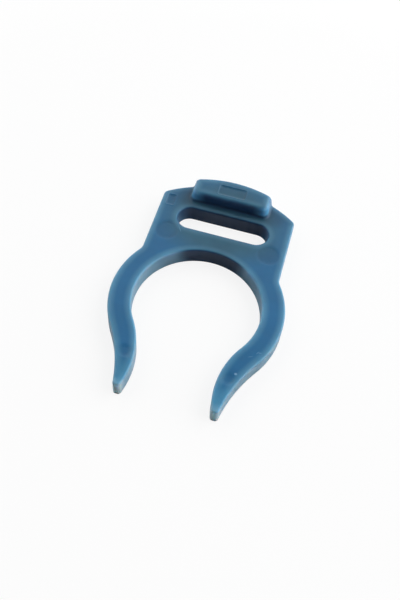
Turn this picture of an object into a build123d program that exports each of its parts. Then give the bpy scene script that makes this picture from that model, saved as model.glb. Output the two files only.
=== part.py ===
from build123d import *
import math
import os

# Tube retaining clip: a flat spring clip, moulded in one piece, that snaps sideways onto a tube.
# Millimetres. The origin is on the bore's axis at the underside of the plate, +X runs across the
# clip, +Y toward the head and +Z up out of the plate. Both halves are alike about the YZ plane.

# Plate
plate_thickness = 3.3
edge_round = 0.35         # round along the upper edges; the underside is the sharp parting face

# Bore and arms
bore_diameter = 22.0      # outside diameter of the tube that the arms grip
arm_width = 3.95          # radial width of each arm

# Mouth and fingers
throat_gap = 13.6         # narrowest opening between the fingers
throat_reach = 14.1       # bore's axis to the throat
flare_reach = 4.3         # throat to the finger tips
tip_width = 1.15          # width of a finger where it ends
tip_round = 0.5           # round on both corners of a tip

# Head, stacked outward from the bore
bore_web = 4.05           # plate left between the bore and the slot
slot_width = 4.65
slot_length = 16.8
tab_land = 1.55           # plate left between the slot and the tab
tab_depth = 5.0           # tab's foot, from its front to the crown of the head
shoulder_step = 2.6       # how far the arms stand out past the head's sides
shoulder_round = 2.0      # blend from the head's side into the arm
head_crown = 4.2          # rise of the head's outer edge between its corners
head_corner_round = 1.05

# Tab that the thumb pushes
tab_length = 14.7         # across the clip, at the foot
tab_height = 2.1
tab_draft = 11.0          # degrees that the front and both ends lean in
tab_corner_round = 1.0    # front corners, seen from above
tab_edge_round = 0.8      # round along the upper edges of the front and ends
tab_foot_round = 0.5      # blend from the tab into the plate

# Witness marks that the ejectors leave in the upper faces
mark_depth = 0.1
head_pin_diameter = 4.2
head_pin_inset = 3.0      # head's side to the middle of its mark
head_pin_reach = 13.35    # bore's axis to the middle of the head's marks
finger_pin_diameter = 2.4
finger_pin_inset = 1.85   # throat to the middle of the finger's mark
finger_pin_reach = 12.3   # bore's axis to the middle of the fingers' marks
blade_length = 5.2        # mark of the flat ejector on the tab
blade_width = 2.4
blade_corner_round = 0.4

# Levels, reaches and radii that follow from the sizes above
bore_radius = bore_diameter / 2
arm_radius = bore_radius + arm_width
throat_half = throat_gap / 2
finger_reach = throat_reach + flare_reach
slot_middle = bore_radius + bore_web + slot_width / 2
tab_front = bore_radius + bore_web + slot_width + tab_land
crown_reach = tab_front + tab_depth
corner_reach = crown_reach - head_crown
head_half = arm_radius - shoulder_step
crown_radius = (head_half ** 2 + head_crown ** 2) / (2 * head_crown)
tab_top = plate_thickness + tab_height
match_share = 1e-6        # lengths this near to each other, as a share, are the same

# Bend that turns the round of the arm into the finger. The inner edge leaves the bore bend_angle
# degrees below the X axis and swings outward again round a centre level with the throat.
bend_pull = bore_radius - throat_half
bend_reach = (bend_pull ** 2 + throat_reach ** 2) / (2 * bend_pull)
bend_radius = bend_reach - bore_radius
bend_angle = math.degrees(math.asin(throat_reach / bend_reach))
tip_flare = bend_radius - math.sqrt(bend_radius ** 2 - flare_reach ** 2)


def on_circle(radius, angle):
    """Point on a circle about the bore's axis, with the angle in degrees from +X."""
    return (radius * math.cos(math.radians(angle)), radius * math.sin(math.radians(angle)))


def half_outline():
    """Right half of the plate seen from above, with sharp corners and no slot."""
    crown = (0, crown_reach)
    corner = (head_half, corner_reach)
    shoulder = (head_half, math.sqrt(arm_radius ** 2 - head_half ** 2))
    arm_end = on_circle(arm_radius, -bend_angle)
    tip_inner = (throat_half + tip_flare, -finger_reach)
    tip_outer = (tip_inner[0] + tip_width, -finger_reach)
    bore_end = on_circle(bore_radius, -bend_angle)
    bore_top = (0, bore_radius)
    down_the_arm = on_circle(1, -bend_angle - 90)
    return make_face([
        TangentArc(crown, corner, tangent=(1, 0)),
        Line(corner, shoulder),
        ThreePointArc(shoulder, (arm_radius, 0), arm_end),
        TangentArc(arm_end, tip_outer, tangent=down_the_arm),
        Line(tip_outer, tip_inner),
        TangentArc(bore_end, tip_inner, tangent=down_the_arm),
        ThreePointArc(bore_end, (bore_radius, 0), bore_top),
        Line(bore_top, crown),
    ])


def plate_outline():
    """Whole plate seen from above, with its corners rounded and no slot."""
    half = half_outline()
    face = half + mirror(half, about=Plane.YZ)
    face = fillet(face.vertices().group_by(Axis.Y)[0], tip_round)
    face = fillet(face.vertices().group_by(Axis.Y)[-2], shoulder_round)
    return fillet(face.vertices().group_by(Axis.Y)[-1], head_corner_round)


def tab(outline):
    """Raised tab on the plate, with leaning front and ends and its back flush with the head's edge."""
    foot = Pos(0, tab_front + tab_depth, plate_thickness) * Rectangle(tab_length, 2 * tab_depth)
    block = extrude(foot, tab_height, taper=tab_draft)
    block = block & extrude(outline, tab_top)
    rising = block.edges().filter_by(lambda edge: edge.bounding_box().size.Z > tab_foot_round)
    block = fillet(rising.group_by(Axis.Y)[0], tab_corner_round)
    return fillet(block.edges().group_by(Axis.Z)[-1].filter_by(on_the_crown, reverse=True), tab_edge_round)


def on_the_crown(edge):
    """Whether an edge lies in the wall along the head's outer edge."""
    middle = edge.center()
    reach = math.hypot(middle.X, middle.Y - crown_reach + crown_radius)
    return math.isclose(reach, crown_radius, rel_tol=match_share)


def at_the_foot(edge):
    """Whether an edge lies at the tab's foot, and not on the plate's own outline."""
    middle = edge.center()
    beside = tab_length / 2 + 2 * tab_foot_round
    return abs(middle.X) < beside and middle.Y > tab_front - 2 * tab_foot_round


def plate_edges(body):
    """Edges of the plate's upper face."""
    plate_top = body.faces().filter_by(Plane.XY).sort_by(SortBy.AREA)[-2]
    return plate_top.edges()


def upper_edges(body):
    """Upper edges of the plate's outline and slot, and of the tab's back that stands on them."""
    tab_back = body.edges().filter_by_position(Axis.Z, plate_thickness, tab_top).filter_by(on_the_crown)
    return tab_back + plate_edges(body).filter_by(at_the_foot, reverse=True).filter_by(on_the_crown, reverse=True)


def ejector_marks():
    """Shallow discs and the bar that the ejectors leave, as one cutter."""
    head_pin = Cylinder(head_pin_diameter / 2, 2 * mark_depth)
    finger_pin = Cylinder(finger_pin_diameter / 2, 2 * mark_depth)
    blade = extrude(RectangleRounded(blade_length, blade_width, blade_corner_round), mark_depth, both=True)
    right = [
        Pos(head_half - head_pin_inset, head_pin_reach, plate_thickness) * head_pin,
        Pos(throat_half + finger_pin_inset, -finger_pin_reach, plate_thickness) * finger_pin,
    ]
    left = [mirror(mark, about=Plane.YZ) for mark in right]
    return right + left + [Pos(0, crown_reach - tab_depth / 2, tab_top) * blade]


def clip():
    """The whole moulding."""
    outline = plate_outline()
    slot = Pos(0, slot_middle) * SlotOverall(slot_length, slot_width)
    body = extrude(outline - slot, plate_thickness) + tab(outline)
    body = fillet(plate_edges(body).filter_by(at_the_foot), tab_foot_round)
    body = fillet(upper_edges(body), edge_round)
    return body - ejector_marks()


def main():
    os.makedirs("parts", exist_ok=True)
    export_step(clip(), "parts/tube_clip.step")


if __name__ == "__main__":
    main()
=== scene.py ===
import math

import bmesh
import bpy
import numpy as np
from mathutils import Matrix, Vector, kdtree
from mathutils.geometry import delaunay_2d_cdt


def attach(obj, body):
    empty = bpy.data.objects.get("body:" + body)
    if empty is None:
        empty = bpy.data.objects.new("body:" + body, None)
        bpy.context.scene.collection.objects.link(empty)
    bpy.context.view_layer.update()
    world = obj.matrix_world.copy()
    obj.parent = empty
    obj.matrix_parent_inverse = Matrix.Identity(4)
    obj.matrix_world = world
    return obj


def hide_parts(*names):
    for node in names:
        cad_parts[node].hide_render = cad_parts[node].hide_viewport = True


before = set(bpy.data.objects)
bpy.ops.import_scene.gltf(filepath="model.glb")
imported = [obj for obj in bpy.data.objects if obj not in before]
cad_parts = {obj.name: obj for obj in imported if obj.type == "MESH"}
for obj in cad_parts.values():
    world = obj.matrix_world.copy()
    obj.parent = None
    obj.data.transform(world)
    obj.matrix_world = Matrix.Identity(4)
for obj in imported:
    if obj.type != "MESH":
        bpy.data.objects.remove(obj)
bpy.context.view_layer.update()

# Tube retaining clip, moulded in one piece from blue polypropylene. Sizes are in millimetres, in the
# part's frame: origin on the bore's axis at the underside, +Y toward the head, +Z up.
MM = 0.001

# Plate, bore and arms
plate_thickness = 3.3
edge_round = 0.35
foot_chamfer = 0.07       # broken edge along the parting face
bore_radius = 11.0
arm_radius = 14.95

# Mouth and fingers
throat_half = 6.8
throat_reach = 14.1
finger_reach = 18.4
tip_width = 1.15
tip_round = 0.5

# Head
slot_middle = 17.375
slot_width = 4.65
slot_length = 16.8
head_half = 12.35
shoulder_round = 2.0
crown_reach = 26.25
head_crown = 4.2
head_corner_round = 1.05

# Tab
tab_front = 21.25
tab_depth = 5.0
tab_length = 14.7
tab_height = 2.07         # the burr round the tab's mark makes up the full height
tab_draft = 11.0          # degrees
tab_corner_round = 1.0
tab_edge_round = 0.8
tab_foot_round = 0.5

# Marks of the ejectors, and the plain pad in the head's corner
pin_depth = 0.06
pin_slope = 0.3           # width of the worn step round a pin's mark
blade_depth = 0.06
blade_slope = 0.16
burr_height = 0.03        # raised line that the flat ejector's pocket leaves round its mark
burr_width = 0.14
head_pin = (9.35, 13.35, 2.1)                    # place and radius
finger_pin = (8.6, -12.2, 1.15)
blade = (0.0, 23.75, 5.2, 2.4, 0.4)              # place, length, width and corner round
corner_pad = (-10.65, 20.4, 1.7, 2.6, 0.4)

# Scuffs on the upper face, as place, heading in degrees, length, width and strength
scuffs = [
    (12.0, -6.3, 60.0, 0.9, 0.22, 0.3),
    (12.35, -6.25, 5.0, 0.8, 0.22, 0.4),
    (11.05, -7.34, 25.0, 1.1, 0.2, 0.25),
    (-7.2, 14.3, -58.0, 1.9, 0.2, 0.3),
    (11.8, -9.6, -35.0, 0.9, 0.2, 0.4),
    # a pale dot painted as the highlight on a small bump, with the bump in the relief
    (9.52, -11.08, 0.0, 0.62, 0.5, 0.9),
]
scuff_depth = 0.3
scuff_core = 0.6          # share of a scuff's depth at which it is at full strength

# Fineness of the mesh
outline_step = 0.3
turn_step = 12.0          # degrees
face_step = 0.4
edge_round_points = 7
finer_steps = 4           # parts that a corner line's steps are cut into to measure from it
weld_gap = 0.001          # points of the swept edge nearer than this are one
weld_digits = 4           # decimals in which points shared by two faces agree
same_point = 1e-6
same_level = 1e-9
round_end = 0.999         # share of the edge round past which a point is on the upper rim
tab_corner_ring = -4      # ring near the middle of the round along the tab's upper edge
sharp_angle = 30.0        # degrees
flat_face_weight = 100    # the large faces set the shading, so that rounds don't smear into them

# Colours of the plastic; all but the body and the scuff are painted light and shade
plastic_colours = {
    "body": "#276D9A",
    # painted sheen and shade: the head's upper faces greyer, as if less lit and softly reflecting
    "head sheen": "#31637A",
    # painted light: upper faces paler along the edges, where light soaks in, duller on the head
    "rim": "#5791AF",
    "head rim": "#47778F",
    # painted light: walls paler than the faces, as if lit from the sides
    "wall": "#82B0CB",
    # painted shade on the walls in and round the head's recesses
    "recess shade": "#25486D",
    # painted light on the ends of the tab's front, where the side light soaks in
    "lit tab end": "#6AADD6",
    # painted light: the thin fingers paler and their ends nearly white, as if light passed through
    "finger": "#4F95B8",
    "tip": "#CDE9F1",
    "scuff": "#7DB0CF",
}
gloss_tint = "#D4E0F0"

# Soft zones of colour, as middle, reach each way, and how deep in they start and are full
soft_zones = {
    # the thick head, where the painted sheen and shade lie and the walls keep the body colour
    "thick": ((0.0, 18.0, 3.0), (15.5, 12.5, 9.0), 0.1, 0.55),
    # painted shade on the head's walls
    "recess shade": ((0.0, 16.5, 3.0), (13.0, 14.0, 12.0), 0.25, 0.45),
    # painted shadow of the tab on the plate round its foot
    "tab shadow": ((0.0, 22.0, 3.3), (14.5, 3.6, 0.9), 0.0, 0.5),
}

# Bands of colour, as what they run along, where they start and are full, and their share before the start
soft_bands = {
    # painted light along the edges
    "inner": ("gap", 0.1, 1.5, 0.0),
    # painted light in the thin fingers and their tips
    "thin": ("y", -12.0, -18.4, 0.0),
    "tip": ("y", -16.6, -18.5, 0.0),
    "below": ("z", 3.3, 2.7, 0.25),
    # where the painted light on the tab's front ends comes in
    "toward end": ("off centre", 4.2, 7.0, 0.0),
    "raised": ("z", 3.4, 4.0, 0.0),
    "in front": ("y", 24.6, 22.6, 0.0),
}
upper_face_start = 0.6    # upward part of a normal from which the upper face's colour comes in

# Patterns and gloss of the plastic
flow_width = 6.0          # clouds of pigment
grain_width = 0.35        # about 0.05 on the real clip, too fine to show
draw_stretch = 0.06       # the grain's scale along Z, which makes it the draw lines on the walls
noise_range = (0.3, 0.7)  # values that the noise mostly takes
cloud_range = (0.9, 1.1)
mark_shade = -0.12
finger_mark_tone = 0.3    # how dark the fingers' marks are beside the head's
# painted shadow of the tab
tab_shadow_shade = -0.35
roughness_range = (0.30, 0.38)
scuff_relief = -0.8       # beside the grain's
relief_depth = 0.002
soak_depth = 1.2          # how far light soaks in
soak_shares = (0.4, 0.8, 1.0)    # of it for red, green and blue

# Stage, in metres and watts
paper_shade = 0.15        # reflected light, kept low so that the floor doesn't light the walls
paper_shade_in_gloss = 0.95
glow_range = (0.85, 1.0)  # white that the camera sees under the clip, and far from it
glow_fade = (0.08, 0.35)
floor_rings = [0.02, 0.1, 0.4, 0.9]
floor_radius = 1.2
sweep_radius = 0.4
sweep_steps = 9
sweep_top = 0.9
sweep_sides = 96
floor_drop = 0.02 * MM    # air between the floor and the underside
lamp_aim = (0.0, 0.004, 0.003)
lamps = {                 # place, width and power
    "key_right": ((0.50, 0.16, 0.34), 0.8, 4.9),
    "fill_left": ((-0.50, 0.12, 0.32), 0.8, 2.4),
    "back": ((0.0, 0.52, 0.30), 0.7, 1.6),
}
sky_colour = "#E6ECF2"
sky_strength = 0.08

# Camera
camera_angles = (10.768, 56.836, 5.76)    # azimuth, elevation and roll in degrees
camera_distance = 124.266
camera_target = (0.361, 0.688, 3.3)
pixels_per_mm = 5.946                     # at the target
image_height = 600                        # pixels
sensor_height = 36.0
camera_clip = 5.0

# Bend that carries the arm into the finger
bend_pull = bore_radius - throat_half
bend_reach = (bend_pull ** 2 + throat_reach ** 2) / (2 * bend_pull)
bend_radius = bend_reach - bore_radius
bend_angle = math.degrees(math.asin(throat_reach / bend_reach))


def linear(hex_colour):
    """Linear colour of an sRGB hex value."""
    shares = [int(hex_colour[i:i + 2], 16) / 255 for i in (1, 3, 5)]
    return [s / 12.92 if s <= 0.04045 else ((s + 0.055) / 1.055) ** 2.4 for s in shares] + [1.0]


def metres(sizes):
    """Sizes in millimetres turned into metres."""
    return [size * MM for size in sizes]


def add(tree, kind, inputs=None, **settings):
    """New node with its settings, and its inputs by identifier as values or as links to other sockets."""
    made = tree.nodes.new(kind)
    for name, value in settings.items():
        setattr(made, name, value)
    for key, value in (inputs or {}).items():
        socket = next(s for s in made.inputs if s.identifier == key)
        several = isinstance(value, list) and isinstance(value[0], bpy.types.NodeSocket)
        for source in value if several else [value]:
            if isinstance(source, bpy.types.NodeSocket):
                tree.links.new(source, socket)
            else:
                socket.default_value = source
    return made


# Lines that the clip's shape follows

def turn(centre, radius, start, end):
    """Points on an arc between two angles in degrees from +X."""
    sweep = abs(end - start)
    count = math.ceil(max(math.radians(sweep) * radius / outline_step, sweep / turn_step))
    angles = np.radians(np.linspace(start, end, count + 1))
    return np.column_stack((centre[0] + radius * np.cos(angles), centre[1] + radius * np.sin(angles)))


def straight(start, end):
    """Points on a straight line."""
    return np.linspace(start, end, math.ceil(math.dist(start, end) / outline_step) + 1)


def heading(start, end):
    """Angle in degrees of the direction from one point to another."""
    return math.degrees(math.atan2(end[1] - start[1], end[0] - start[0]))


def tab_section():
    """Section of the tab's leaning side, as inset from its foot line and height above the plate."""
    opening = math.tan(math.radians(90 + tab_draft) / 2)
    foot_inset = -tab_foot_round / opening
    top_inset = tab_height * math.tan(math.radians(tab_draft)) + tab_edge_round / opening
    foot = turn((foot_inset, tab_foot_round), tab_foot_round, -90, -tab_draft)
    top = turn((top_inset, tab_height - tab_edge_round), tab_edge_round, 180 - tab_draft, 90)
    return np.vstack((foot, top))


def crown_line(section):
    """Right half of the head's outer edge, its rise under the tab, and the round at its corner."""
    radius = (head_half ** 2 + head_crown ** 2) / (2 * head_crown)
    middle = (0.0, crown_reach - radius)
    corner_x = head_half - head_corner_round
    corner_y = middle[1] + math.sqrt((radius - head_corner_round) ** 2 - corner_x ** 2)
    corner = (corner_x, corner_y)
    ends = (tab_length / 2 - section[::-1, 0]) * radius / (radius - edge_round)
    last = middle[0] + radius * math.cos(math.radians(heading(middle, corner)))
    xs = np.concatenate((
        straight((0.0, 0.0), (ends[0], 0.0))[:-1, 0],
        ends,
        straight((ends[-1], 0.0), (last, 0.0))[1:, 0],
    ))
    rises = np.interp(xs, ends, section[::-1, 1])
    line = np.column_stack((xs, middle[1] + np.sqrt(radius ** 2 - xs ** 2)))
    return line, rises, turn(corner, head_corner_round, heading(middle, corner), 0)


def finger_lines():
    """Right finger from the arm's outer edge round the tip and up to the bore."""
    along = np.array((math.cos(math.radians(bend_angle)), -math.sin(math.radians(bend_angle))))
    inner = bend_reach * along
    tip_x = inner[0] - math.sqrt(bend_radius ** 2 - (finger_reach - throat_reach) ** 2)
    tip = np.array((tip_x + tip_width, -finger_reach))
    outer_reach = (tip @ tip - arm_radius ** 2) / (2 * (along @ tip - arm_radius))
    outer = outer_reach * along
    outer_radius = outer_reach - arm_radius
    low = tip_round - finger_reach
    outside = (outer[0] - math.sqrt((outer_radius + tip_round) ** 2 - (low - outer[1]) ** 2), low)
    inside = (inner[0] - math.sqrt((bend_radius - tip_round) ** 2 - (low - inner[1]) ** 2), low)
    outer_end = heading(outer, outside)
    inner_end = heading(inner, inside) % 360
    return [
        turn(outer, outer_radius, 180 - bend_angle, outer_end % 360),
        turn(outside, tip_round, heading(outside, outer), -90),
        straight((outside[0], -finger_reach), (inside[0], -finger_reach)),
        turn(inside, tip_round, 270, inner_end),
        turn(inner, bend_radius, inner_end, 180 - bend_angle),
    ]


def plate_edge(section):
    """Plate's edge seen from above, clockwise from the middle of the crown, and its rise under the tab."""
    crown, rises, corner = crown_line(section)
    shoulder_x = head_half + shoulder_round
    shoulder_y = math.sqrt((arm_radius + shoulder_round) ** 2 - shoulder_x ** 2)
    shoulder = (shoulder_x, shoulder_y)
    lines = [
        crown,
        corner,
        straight(corner[-1], (head_half, shoulder_y)),
        turn(shoulder, shoulder_round, 180, 180 + heading((0, 0), shoulder)),
        turn((0, 0), arm_radius, heading((0, 0), shoulder), -bend_angle),
        *finger_lines(),
        turn((0, 0), bore_radius, -bend_angle, 90),
    ]
    half = np.vstack([lines[0]] + [line[1:] for line in lines[1:]])
    half_rises = np.zeros(len(half))
    half_rises[:len(rises)] = rises
    left = half[-2:0:-1] * (-1, 1)
    return np.vstack((half, left)), np.concatenate((half_rises, half_rises[-2:0:-1]))


def slot_edge():
    """Slot's edge seen from above, anticlockwise."""
    radius = slot_width / 2
    reach = slot_length / 2 - radius
    lines = [
        turn((reach, slot_middle), radius, -90, 90),
        straight((reach, slot_middle + radius), (-reach, slot_middle + radius)),
        turn((-reach, slot_middle), radius, 90, 270),
        straight((-reach, slot_middle - radius), (reach, slot_middle - radius)),
    ]
    return np.vstack([line[1:] for line in lines])


def tab_ring(inset, height, left, right):
    """Line round the tab's ends and front at one level, between two points on the crown's rim."""
    round_off = tab_corner_round + height * math.tan(math.radians(tab_draft)) - inset
    side = tab_length / 2 - inset
    front = tab_front + inset
    corner = turn((side - round_off, front + round_off), round_off, 0, -90)
    end_points = round(tab_depth / outline_step)
    front_points = round(tab_length / outline_step)
    flat = np.vstack((
        np.linspace(left[:2], corner[0] * (-1, 1), end_points)[:-1],
        corner[:-1] * (-1, 1),
        np.linspace(corner[-1] * (-1, 1), corner[-1], front_points)[:-1],
        corner[::-1][:-1],
        np.linspace(corner[0], right[:2], end_points),
    ))
    ring = np.column_stack((flat, np.full(len(flat), plate_thickness + height)))
    ring[0] = left
    ring[-1] = right
    return ring


def disc_line(x, y, radius):
    """Round line."""
    return turn((x, y), radius, 0, 360)[:-1]


def pad_line(x, y, length, width, corner):
    """Line round a rectangle with rounded corners."""
    across = length / 2 - corner
    along = width / 2 - corner
    lines = [
        turn((x + across, y + along), corner, 0, 90),
        turn((x - across, y + along), corner, 90, 180),
        turn((x - across, y - along), corner, 180, 270),
        turn((x + across, y - along), corner, 270, 360),
    ]
    closed = np.vstack(lines + [lines[0][:1]])
    return np.vstack([straight(a, b)[:-1] for a, b in zip(closed[:-1], closed[1:])])


# Moulded edge that follows the plate's outline and the slot's

def moulded_edge_tree():
    """Tree that sweeps the plate's wall, with its rounded upper edge, along an outline."""
    tree = bpy.data.node_groups.new("moulded_edge", "GeometryNodeTree")
    tree.interface.new_socket("Outline", in_out="INPUT", socket_type="NodeSocketGeometry")
    tree.interface.new_socket("Thickness", in_out="INPUT", socket_type="NodeSocketFloat")
    tree.interface.new_socket("Edge Round", in_out="INPUT", socket_type="NodeSocketFloat")
    tree.interface.new_socket("Foot Chamfer", in_out="INPUT", socket_type="NodeSocketFloat")
    tree.interface.new_socket("Round Points", in_out="INPUT", socket_type="NodeSocketInt")
    tree.interface.new_socket("Plastic", in_out="INPUT", socket_type="NodeSocketMaterial")
    tree.interface.new_socket("Edge", in_out="OUTPUT", socket_type="NodeSocketGeometry")
    sizes = add(tree, "NodeGroupInput").outputs
    thickness, rounding, chamfer = sizes["Thickness"], sizes["Edge Round"], sizes["Foot Chamfer"]

    # Section of the edge: x runs into the plastic and y runs down
    wall_top = add(tree, "ShaderNodeMath", {
        "Value": rounding, "Value_001": thickness}, operation="SUBTRACT").outputs[0]
    wall_foot = add(tree, "ShaderNodeMath", {
        "Value": chamfer, "Value_001": -1.0}, operation="MULTIPLY").outputs[0]
    foot = add(tree, "ShaderNodeCombineXYZ", {"X": chamfer}).outputs[0]
    low = add(tree, "ShaderNodeCombineXYZ", {"Y": wall_foot}).outputs[0]
    high = add(tree, "ShaderNodeCombineXYZ", {"Y": wall_top}).outputs[0]
    middle = add(tree, "ShaderNodeCombineXYZ", {"X": rounding, "Y": wall_top}).outputs[0]
    broken = add(tree, "GeometryNodeCurvePrimitiveLine", {"Start": foot, "End": low})
    wall = add(tree, "GeometryNodeCurvePrimitiveLine", {"Start": low, "End": high})
    quarter = add(tree, "GeometryNodeCurveArc", {
        "Resolution": sizes["Round Points"], "Radius": rounding,
        "Start Angle": math.pi, "Sweep Angle": math.pi / 2}, mode="RADIUS")
    along_round = add(tree, "GeometryNodeSplineParameter").outputs["Factor"]
    marked = add(tree, "GeometryNodeStoreNamedAttribute", {
        "Geometry": quarter.outputs["Curve"], "Name": "round_share", "Value": along_round},
        data_type="FLOAT", domain="POINT")
    placed = add(tree, "GeometryNodeTransform", {"Geometry": marked.outputs[0], "Translation": middle})
    section = add(tree, "GeometryNodeJoinGeometry", {
        "Geometry": [broken.outputs[0], wall.outputs[0], placed.outputs[0]]})

    # Sweep, and the lift of the upper edge where the tab stands on it
    path = add(tree, "GeometryNodeMeshToCurve", {"Mesh": sizes["Outline"]})
    level_path = add(tree, "GeometryNodeSetCurveNormal", {"Curve": path.outputs[0]}, mode="Z_UP")
    swept = add(tree, "GeometryNodeCurveToMesh", {
        "Curve": level_path.outputs[0], "Profile Curve": section.outputs[0]})
    joined = add(tree, "GeometryNodeMergeByDistance", {
        "Geometry": swept.outputs[0], "Distance": weld_gap * MM})
    place = add(tree, "GeometryNodeInputPosition").outputs[0]
    height = add(tree, "ShaderNodeSeparateXYZ", {"Vector": place}).outputs["Z"]
    half_way = add(tree, "ShaderNodeMath", {
        "Value": thickness, "Value_001": 0.5}, operation="MULTIPLY").outputs[0]
    upper = add(tree, "FunctionNodeCompare", {
        "A": height, "B": half_way}, operation="GREATER_THAN").outputs[0]
    rise = add(tree, "GeometryNodeInputNamedAttribute", {
        "Name": "rise"}, data_type="FLOAT").outputs["Attribute"]
    lift = add(tree, "ShaderNodeCombineXYZ", {"Z": rise}).outputs[0]
    lifted = add(tree, "GeometryNodeSetPosition", {
        "Geometry": joined.outputs[0], "Selection": upper, "Offset": lift})
    real = add(tree, "GeometryNodeRealizeInstances", {"Geometry": lifted.outputs[0]})
    done = add(tree, "GeometryNodeSetMaterial", {"Geometry": real.outputs[0], "Material": sizes["Plastic"]})
    add(tree, "NodeGroupOutput", {tree.interface.items_tree["Edge"].identifier: done.outputs[0]})
    return tree


def values(mesh, name, kind):
    """Values of a mesh's attribute, one for each vertex."""
    found = np.zeros(len(mesh.vertices), kind)
    mesh.attributes[name].data.foreach_get("value", found)
    return found


def places(mesh):
    """Vertices of a mesh in millimetres."""
    found = np.zeros(3 * len(mesh.vertices))
    mesh.vertices.foreach_get("co", found)
    return found.reshape(-1, 3) / MM


def sweep_edge(tree, line, rises, plastic):
    """Moulded edge along a closed line: points, faces, and upper and lower rims in the line's order."""
    count = len(line)
    mesh = bpy.data.meshes.new("outline")
    steps = [(i, (i + 1) % count) for i in range(count)]
    mesh.from_pydata([(x * MM, y * MM, 0.0) for x, y in line], steps, [])
    mesh.attributes.new("rise", "FLOAT", "POINT").data.foreach_set("value", rises * MM)
    mesh.attributes.new("station", "INT", "POINT").data.foreach_set("value", np.arange(count))
    carrier = bpy.data.objects.new("outline", mesh)
    bpy.context.scene.collection.objects.link(carrier)
    modifier = carrier.modifiers.new("moulded_edge", "NODES")
    modifier.node_group = tree
    sizes = {
        "Thickness": plate_thickness * MM,
        "Edge Round": edge_round * MM,
        "Foot Chamfer": foot_chamfer * MM,
        "Round Points": edge_round_points,
        "Plastic": plastic,
    }
    for name, value in sizes.items():
        modifier[tree.interface.items_tree[name].identifier] = value
    baked = bpy.data.meshes.new_from_object(carrier.evaluated_get(bpy.context.evaluated_depsgraph_get()))
    points = places(baked)
    stations = values(baked, "station", np.int32)
    shares = values(baked, "round_share", np.float32)
    faces = [list(p.vertices) for p in baked.polygons]
    upper = np.flatnonzero(shares > round_end)
    lower = np.flatnonzero(points[:, 2] < foot_chamfer / 2)
    rims = [points[group[np.argsort(stations[group])]] for group in (upper, lower)]
    bpy.data.objects.remove(carrier)
    return points, faces, rims[0], rims[1]


# Flat faces

def nearest(points):
    """Search tree over points."""
    tree = kdtree.KDTree(len(points))
    for i, point in enumerate(points):
        tree.insert(point, i)
    tree.balance()
    return tree


def inside(points, loops):
    """Whether each point lies inside an odd number of the loops, seen from above."""
    found = np.zeros(len(points), bool)
    for loop in loops:
        ends = np.roll(loop, -1, axis=0)
        for (x0, y0), (x1, y1) in zip(loop[:, :2], ends[:, :2]):
            if y0 == y1:
                continue
            spans = (points[:, 1] < y0) != (points[:, 1] < y1)
            across = x0 + (points[:, 1] - y0) * (x1 - x0) / (y1 - y0)
            found ^= spans & (points[:, 0] < across)
    return found


def anticlockwise(line):
    """Whether a closed line runs anticlockwise, seen from above."""
    ends = np.roll(line, -1, axis=0)
    return np.sum(line[:, 0] * ends[:, 1] - line[:, 1] * ends[:, 0]) > 0


def fill(edge, holes, marks, level):
    """Flat face inside an edge and round its holes, with marks: points, triangles, which points are sunk."""
    loops = [edge] + holes
    mark_lines = [ring for mark in marks for ring in mark]
    rings = [np.column_stack((line, np.full(len(line), level + rise))) for line, rise in mark_lines]
    points = np.vstack(loops + rings)
    outlines = []
    links = []
    first = 0
    for line in loops:
        numbers = list(range(first, first + len(line)))
        outlines.append(numbers if anticlockwise(line) else numbers[::-1])
        first += len(line)
    for line in rings:
        links += [(first + i, first + (i + 1) % len(line)) for i in range(len(line))]
        first += len(line)

    # Points between the lines, in rows of even triangles, with the marks' floors lowered
    low, high = edge[:, :2].min(0), edge[:, :2].max(0)
    columns = np.arange(low[0], high[0], face_step)
    rows = np.arange(low[1], high[1], face_step * math.sqrt(3) / 2)
    grid = np.array([(x + face_step / 2 * (row % 2), y) for row, y in enumerate(rows) for x in columns])
    grid = grid[inside(grid, loops)]
    near = nearest([(x, y, 0.0) for x, y in points[:, :2]])
    grid = grid[[near.find((x, y, 0.0))[2] > face_step / 2 for x, y in grid]]
    heights = np.full(len(grid), level)
    for mark in marks:
        floor_line, rise = mark[-1]
        heights[inside(grid, [floor_line])] += rise
    points = np.vstack((points, np.column_stack((grid, heights))))
    sunk = points[:, 2] < level - pin_depth / 2

    flat = [Vector(point[:2]) for point in points]
    _, _, faces, origins, _, owners = delaunay_2d_cdt(flat, links, outlines, 0, same_point, True)
    source = [origin[0] for origin in origins]
    # Plastic is what only the first outline holds
    triangles = [[source[i] for i in face] for face, owner in zip(faces, owners) if list(owner) == [0]]
    return points, triangles, sunk


def strip(first, second):
    """Points and faces of the band between two lines of as many points."""
    count = len(first)
    faces = [[i, i + 1, count + i + 1, count + i] for i in range(count - 1)]
    return np.vstack((first, second)), faces


# The clip

def pin_mark(x, y, radius):
    """Rings of a round pin's mark from the outside in, each with its height over the face."""
    return [(disc_line(x, y, radius), 0.0), (disc_line(x, y, radius - pin_slope), -pin_depth)]


def blade_mark(x, y, length, width, corner):
    """Rings of a flat ejector's mark and its burr from the outside in, each with its height over the face."""
    rings = []
    for inset, rise in [(-burr_width, 0.0), (0.0, burr_height), (blade_slope, -blade_depth)]:
        rings.append((pad_line(x, y, length - 2 * inset, width - 2 * inset, corner - inset), rise))
    return rings


def edge_gaps(points, closed_lines, open_line):
    """Distance in millimetres from each point to the nearest corner line of the moulding."""
    starts = np.vstack(closed_lines + [open_line[:-1]])
    ends = np.vstack([np.roll(line, -1, axis=0) for line in closed_lines] + [open_line[1:]])
    near = nearest(np.linspace(starts, ends, finer_steps, endpoint=False).reshape(-1, 3))
    return np.array([near.find(point)[2] for point in points], np.float32)


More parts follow.
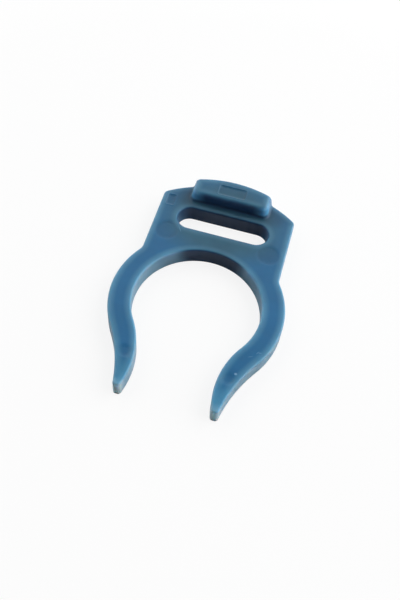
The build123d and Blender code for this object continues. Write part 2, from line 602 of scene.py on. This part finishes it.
def clip_mesh(plastic):
    """Whole moulding as one closed mesh, with the attributes that its colours follow."""
    section = tab_section()
    line, rises = plate_edge(section)
    tree = moulded_edge_tree()
    edge_points, edge_faces, rim, foot_rim = sweep_edge(tree, line, rises, plastic)
    slot = slot_edge()
    slot_points, slot_faces, slot_rim, slot_foot = sweep_edge(tree, slot, np.zeros(len(slot)), plastic)

    # Stations on the right of the crown where the tab's section meets its rim, from the foot up
    top_station = int(np.argmin(rises[:len(rises) // 2] > tab_height - same_level)) - 1
    stations = [top_station + i for i in range(len(section))][::-1]
    rings = []
    for (inset, height), station in zip(section, stations):
        rings.append(tab_ring(inset, height, rim[len(rim) - station], rim[station]))

    marks = [pin_mark(side * x, y, radius) for x, y, radius in (head_pin, finger_pin) for side in (1, -1)]
    marks.append(blade_mark(*corner_pad))
    plate_rim = np.vstack((rim[stations[0]:len(rim) - stations[0] + 1], rings[0][1:-1]))
    tab_rim = np.vstack((rings[-1], rim[stations[-1] - 1:0:-1], rim[:1], rim[:len(rim) - stations[-1]:-1]))

    tops = [
        fill(plate_rim, [slot_rim], marks, plate_thickness),
        fill(tab_rim, [], [blade_mark(*blade)], plate_thickness + tab_height),
    ]
    foot_points, foot_faces, _ = fill(foot_rim, [slot_foot], [], 0.0)
    sides = [(edge_points, edge_faces), (slot_points, slot_faces), (foot_points, foot_faces)]
    sides += [strip(lower, upper) for lower, upper in zip(rings[:-1], rings[1:])]
    parts = [top[:2] for top in tops] + sides

    # One set of points for all of them
    points = np.vstack([part[0] for part in parts])
    sunk = np.zeros(len(points), np.float32)
    top_sunk = np.concatenate([top[2] for top in tops])
    sunk[:len(top_sunk)] = top_sunk
    sunk[points[:, 1] < 0] *= finger_mark_tone
    offsets = np.cumsum([0] + [len(part[0]) for part in parts])
    faces = [[offset + i for i in face] for offset, part in zip(offsets, parts) for face in part[1]]
    _, kept, place = np.unique(np.round(points, weld_digits), axis=0, return_index=True, return_inverse=True)
    place = place.ravel()
    points = points[kept]
    faces = [[int(place[i]) for i in face] for face in faces]
    in_mark = np.zeros(len(points), np.float32)
    np.maximum.at(in_mark, place, sunk)
    corner_lines = [
        np.column_stack((line, plate_thickness + rises)),
        np.column_stack((slot, np.full(len(slot), plate_thickness))),
    ]

    mesh = bpy.data.meshes.new("tube_clip_moulding")
    mesh.from_pydata((points * MM).tolist(), [], faces)
    shell = bmesh.new()
    shell.from_mesh(mesh)
    bmesh.ops.recalc_face_normals(shell, faces=shell.faces)
    shell.to_mesh(mesh)
    shell.free()
    facing_up = np.array([vertex.normal.z for vertex in mesh.vertices])
    attributes = {
        "in_mark": in_mark,
        "edge_gap": edge_gaps(points, corner_lines, rings[tab_corner_ring]),
        "upper_face": np.clip((facing_up - upper_face_start) / (1 - upper_face_start), 0.0, 1.0),
    }
    for name, found in attributes.items():
        mesh.attributes.new(name, "FLOAT", "POINT").data.foreach_set("value", found.astype(np.float32))
    mesh.shade_smooth()
    mesh.set_sharp_from_angle(angle=math.radians(sharp_angle))
    mesh.materials.append(plastic)
    return mesh


def polypropylene():
    """Injection-moulded polypropylene coloured right through with a blue pigment."""
    # Satin and a little translucent, so that light soaks in. Light and shade are also painted into the
    # colour:
    # paler edges, paler walls and tab ends, and paler thin fingers with nearly white tips for the light; a
    # greyish sheen and shade on the thick head's upper faces, navy shade on the walls of its recesses, and a
    # painted shadow of the tab round its foot. The pigment is clouded by the flow, the mould's grain shows
    # faintly, the walls have fine lines along the draw, and handling has left pale scuffs, one a pale dot
    # painted as the highlight on a small bump.
    material = bpy.data.materials.new("moulded_blue_polypropylene")
    material.use_nodes = True
    tree = material.node_tree
    tree.nodes.clear()
    place = add(tree, "ShaderNodeTexCoord").outputs["Object"]
    axes = add(tree, "ShaderNodeSeparateXYZ", {"Vector": place}).outputs
    gap = add(tree, "ShaderNodeAttribute", attribute_name="edge_gap").outputs["Fac"]
    in_mark = add(tree, "ShaderNodeAttribute", attribute_name="in_mark").outputs["Fac"]
    upper_face = add(tree, "ShaderNodeAttribute", attribute_name="upper_face").outputs["Fac"]

    # Zones and bands where painted light and shade change the colour: the light that soaks in, the head's
    # sheen and shade, the shade in its recesses and the tab's shadow
    shares = {}
    for name, (middle, reach, start, full) in soft_zones.items():
        local = add(tree, "ShaderNodeMapping", {
            "Vector": place, "Location": metres(middle), "Scale": metres(reach)},
            vector_type="TEXTURE").outputs[0]
        depth = add(tree, "ShaderNodeTexGradient", {
            "Vector": local}, gradient_type="SPHERICAL").outputs["Fac"]
        shares[name] = add(tree, "ShaderNodeMapRange", {
            "Value": depth, "From Min": start, "From Max": full},
            interpolation_type="SMOOTHSTEP").outputs[0]
    off_centre = add(tree, "ShaderNodeMath", {"Value": axes["X"]}, operation="ABSOLUTE").outputs[0]
    runs = {"gap": (gap, 1.0), "off centre": (off_centre, MM), "y": (axes["Y"], MM), "z": (axes["Z"], MM)}
    for name, (run, start, full, before) in soft_bands.items():
        along, unit = runs[run]
        shares[name] = add(tree, "ShaderNodeMapRange", {
            "Value": along, "From Min": start * unit, "From Max": full * unit, "To Min": before},
            interpolation_type="SMOOTHSTEP").outputs[0]
    shares["upper face"] = upper_face
    for name, first, second in [
        # painted sheen and shade on the head's upper faces
        ("head sheen", "thick", "upper face"),
        ("lit tip end", "tip", "below"),
        ("tab side", "toward end", "raised"),
        ("lit tab end", "tab side", "in front"),
    ]:
        shares[name] = add(tree, "ShaderNodeMath", {
            "Value": shares[first], "Value_001": shares[second]}, operation="MULTIPLY").outputs[0]

    # Scuffs, each a sliver that fades toward its ends
    scuffed = 0.0
    for x, y, heading_angle, length, width, strength in scuffs:
        sliver = add(tree, "ShaderNodeMapping", {
            "Vector": place, "Location": metres((x, y, plate_thickness)),
            "Rotation": (0.0, 0.0, math.radians(heading_angle)),
            "Scale": metres((length / 2, width / 2, scuff_depth))}, vector_type="TEXTURE").outputs[0]
        depth = add(tree, "ShaderNodeTexGradient", {
            "Vector": sliver}, gradient_type="SPHERICAL").outputs["Fac"]
        rubbed = add(tree, "ShaderNodeMapRange", {
            "Value": depth, "From Max": scuff_core, "To Max": strength}).outputs[0]
        scuffed = add(tree, "ShaderNodeMath", {
            "Value": scuffed, "Value_001": rubbed}, operation="MAXIMUM").outputs[0]
    shares["scuffed"] = scuffed

    # Flow clouds, and one fine pattern that is the grain on the faces and, squeezed along Z, the draw lines
    # on the walls. It is drawn coarser than the real one, which is too fine to show.
    flow = add(tree, "ShaderNodeTexNoise", {
        "Vector": place, "Scale": 1 / (flow_width * MM), "Detail": 3.0, "Roughness": 0.55}).outputs["Fac"]
    drawn = add(tree, "ShaderNodeMapping", {"Vector": place, "Scale": (1.0, 1.0, draw_stretch)}).outputs[0]
    grain = add(tree, "ShaderNodeTexNoise", {
        "Vector": drawn, "Scale": 1 / (grain_width * MM), "Detail": 0.0}).outputs["Fac"]

    # Colour, from the body out to the scuffs; the sheen, rims, walls, recesses, tab ends, fingers and tips in
    # it are painted light and shade
    colours = {name: linear(value) for name, value in plastic_colours.items()}
    for name, share, first, second in [
        ("face", "head sheen", "body", "head sheen"),
        ("face edge", "thick", "rim", "head rim"),
        ("edged face", "inner", "face edge", "face"),
        ("upper", "thin", "edged face", "finger"),
        # painted light on the walls, away from the head
        ("side", "thick", "wall", "body"),
        ("deep side", "recess shade", "side", "recess shade"),
        ("tab's side", "lit tab end", "deep side", "lit tab end"),
        ("whole", "upper face", "tab's side", "upper"),
        ("tipped", "lit tip end", "whole", "tip"),
        ("worn", "scuffed", "tipped", "scuff"),
    ]:
        colours[name] = add(tree, "ShaderNodeMix", {
            "Factor_Float": shares[share], "A_Color": colours[first], "B_Color": colours[second]},
            data_type="RGBA").outputs[2]
    cloud = add(tree, "ShaderNodeMapRange", {
        "Value": flow, "From Min": noise_range[0], "From Max": noise_range[1],
        "To Min": cloud_range[0], "To Max": cloud_range[1]}).outputs[0]
    clean_shade = add(tree, "ShaderNodeMath", {
        "Value": in_mark, "Value_001": mark_shade, "Value_002": cloud}, operation="MULTIPLY_ADD").outputs[0]
    # the tab's painted shadow darkens the plate round its foot
    shade = add(tree, "ShaderNodeMath", {
        "Value": shares["tab shadow"], "Value_001": tab_shadow_shade, "Value_002": clean_shade},
        operation="MULTIPLY_ADD").outputs[0]
    colour = add(tree, "ShaderNodeHueSaturation", {"Value": shade, "Color": colours["worn"]}).outputs[0]

    # Gloss and relief
    gloss = add(tree, "ShaderNodeMapRange", {
        "Value": grain, "From Min": noise_range[0], "From Max": noise_range[1],
        "To Min": roughness_range[0], "To Max": roughness_range[1]}).outputs[0]
    relief = add(tree, "ShaderNodeMath", {
        "Value": scuffed, "Value_001": scuff_relief, "Value_002": grain}, operation="MULTIPLY_ADD").outputs[0]
    bump = add(tree, "ShaderNodeBump", {
        "Strength": 1.0, "Distance": relief_depth * MM, "Height": relief}).outputs[0]
    surface = add(tree, "ShaderNodeBsdfPrincipled", {
        "Base Color": colour, "Roughness": gloss, "Normal": bump, "IOR": 1.49,
        "Specular IOR Level": 0.55, "Specular Tint": linear(gloss_tint),
        "Subsurface Weight": 1.0, "Subsurface Radius": soak_shares, "Subsurface Scale": soak_depth * MM})
    add(tree, "ShaderNodeOutputMaterial", {"Surface": surface.outputs[0]})
    return material


def make_clip():
    plastic = polypropylene()
    clip = bpy.data.objects.new("tube_clip_moulding", clip_mesh(plastic))
    bpy.context.scene.collection.objects.link(clip)
    weighted = clip.modifiers.new("flat_faces", "WEIGHTED_NORMAL")
    weighted.keep_sharp = True
    weighted.weight = flat_face_weight
    baked = bpy.data.meshes.new_from_object(clip.evaluated_get(bpy.context.evaluated_depsgraph_get()))
    clip.modifiers.clear()
    clip.data = baked
    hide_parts("tube_clip")
    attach(clip, "root")


# Stage

def paper():
    """Matt white paper. What the camera, gloss and glass see of it is white and keeps the soft shadow."""
    material = bpy.data.materials.new("white_paper")
    material.use_nodes = True
    tree = material.node_tree
    tree.nodes.clear()
    path = add(tree, "ShaderNodeLightPath").outputs
    gloss = add(tree, "ShaderNodeMath", {
        "Value": path["Is Glossy Ray"], "Value_001": path["Is Transmission Ray"]},
        operation="ADD", use_clamp=True).outputs[0]
    shade = add(tree, "ShaderNodeMix", {
        "Factor_Float": gloss, "A_Float": paper_shade, "B_Float": paper_shade_in_gloss}).outputs[0]
    place = add(tree, "ShaderNodeTexCoord").outputs["Object"]
    reach = add(tree, "ShaderNodeVectorMath", {"Vector": place}, operation="LENGTH").outputs["Value"]
    fade = add(tree, "ShaderNodeMapRange", {
        "Value": reach, "From Min": glow_fade[0], "From Max": glow_fade[1],
        "To Min": glow_range[0], "To Max": glow_range[1]}).outputs[0]
    glow = add(tree, "ShaderNodeMath", {
        "Value": path["Is Camera Ray"], "Value_001": fade}, operation="MULTIPLY").outputs[0]
    lit = add(tree, "ShaderNodeBsdfDiffuse", {"Color": shade})
    white = add(tree, "ShaderNodeEmission", {"Strength": glow})
    both = add(tree, "ShaderNodeAddShader", {"Shader": lit.outputs[0], "Shader_001": white.outputs[0]})
    add(tree, "ShaderNodeOutputMaterial", {"Surface": both.outputs[0]})
    return material


def make_sweep():
    """Round floor that curves up into a low wall."""
    rings = [(radius, 0.0) for radius in floor_rings]
    for angle in np.linspace(0, math.pi / 2, sweep_steps):
        rings.append((floor_radius + sweep_radius * math.sin(angle), sweep_radius * (1 - math.cos(angle))))
    rings.append((floor_radius + sweep_radius, sweep_top))
    points = [(0.0, 0.0, -floor_drop)]
    for radius, height in rings:
        for angle in np.linspace(0, 2 * math.pi, sweep_sides, endpoint=False):
            points.append((radius * math.cos(angle), radius * math.sin(angle), height - floor_drop))
    faces = [[0, 1 + i, 1 + (i + 1) % sweep_sides] for i in range(sweep_sides)]
    for ring in range(len(rings) - 1):
        start = 1 + ring * sweep_sides
        for i in range(sweep_sides):
            j = (i + 1) % sweep_sides
            faces.append([start + i, start + sweep_sides + i, start + sweep_sides + j, start + j])
    mesh = bpy.data.meshes.new("paper_sweep")
    mesh.from_pydata(points, [], faces)
    mesh.shade_smooth()
    mesh.materials.append(paper())
    sweep = bpy.data.objects.new("paper_sweep", mesh)
    bpy.context.scene.collection.objects.link(sweep)


def make_light():
    """Large soft square lamps that face the clip, and a faint even sky."""
    for name, (place, width, power) in lamps.items():
        lamp = bpy.data.lights.new(name, "AREA")
        lamp.size = width
        lamp.energy = power
        softbox = bpy.data.objects.new(name, lamp)
        softbox.location = place
        softbox.rotation_mode = "QUATERNION"
        softbox.rotation_quaternion = (Vector(place) - Vector(lamp_aim)).to_track_quat("Z", "Y")
        bpy.context.scene.collection.objects.link(softbox)
    world = bpy.data.worlds.new("studio")
    world.use_nodes = True
    bpy.context.scene.world = world
    tree = world.node_tree
    tree.nodes.clear()
    sky = add(tree, "ShaderNodeBackground", {"Color": linear(sky_colour), "Strength": sky_strength})
    add(tree, "ShaderNodeOutputWorld", {"Surface": sky.outputs[0]})


def make_camera():
    """Camera at the photograph's viewing angle."""
    azimuth, elevation, roll = (math.radians(angle) for angle in camera_angles)
    level = Vector((math.cos(azimuth), math.sin(azimuth), 0.0))
    ahead = Vector((-math.sin(azimuth), math.cos(azimuth), 0.0))
    back = Vector((0.0, 0.0, math.sin(elevation))) - ahead * math.cos(elevation)
    rise = back.cross(level)
    right = level * math.cos(roll) + rise * math.sin(roll)
    up = rise * math.cos(roll) - level * math.sin(roll)
    lens = bpy.data.cameras.new("camera")
    lens.sensor_fit = "VERTICAL"
    lens.sensor_height = sensor_height
    lens.lens = sensor_height * pixels_per_mm * camera_distance / image_height
    lens.clip_start = camera_clip * MM
    camera = bpy.data.objects.new("camera", lens)
    turned = Matrix((right, up, back)).transposed().to_4x4()
    turned.translation = (Vector(camera_target) + back * camera_distance) * MM
    camera.matrix_world = turned
    bpy.context.scene.collection.objects.link(camera)
    bpy.context.scene.camera = camera


make_clip()
make_sweep()
make_light()
make_camera()
bpy.context.scene.view_settings.view_transform = "Standard"

bpy.context.view_layer.update()
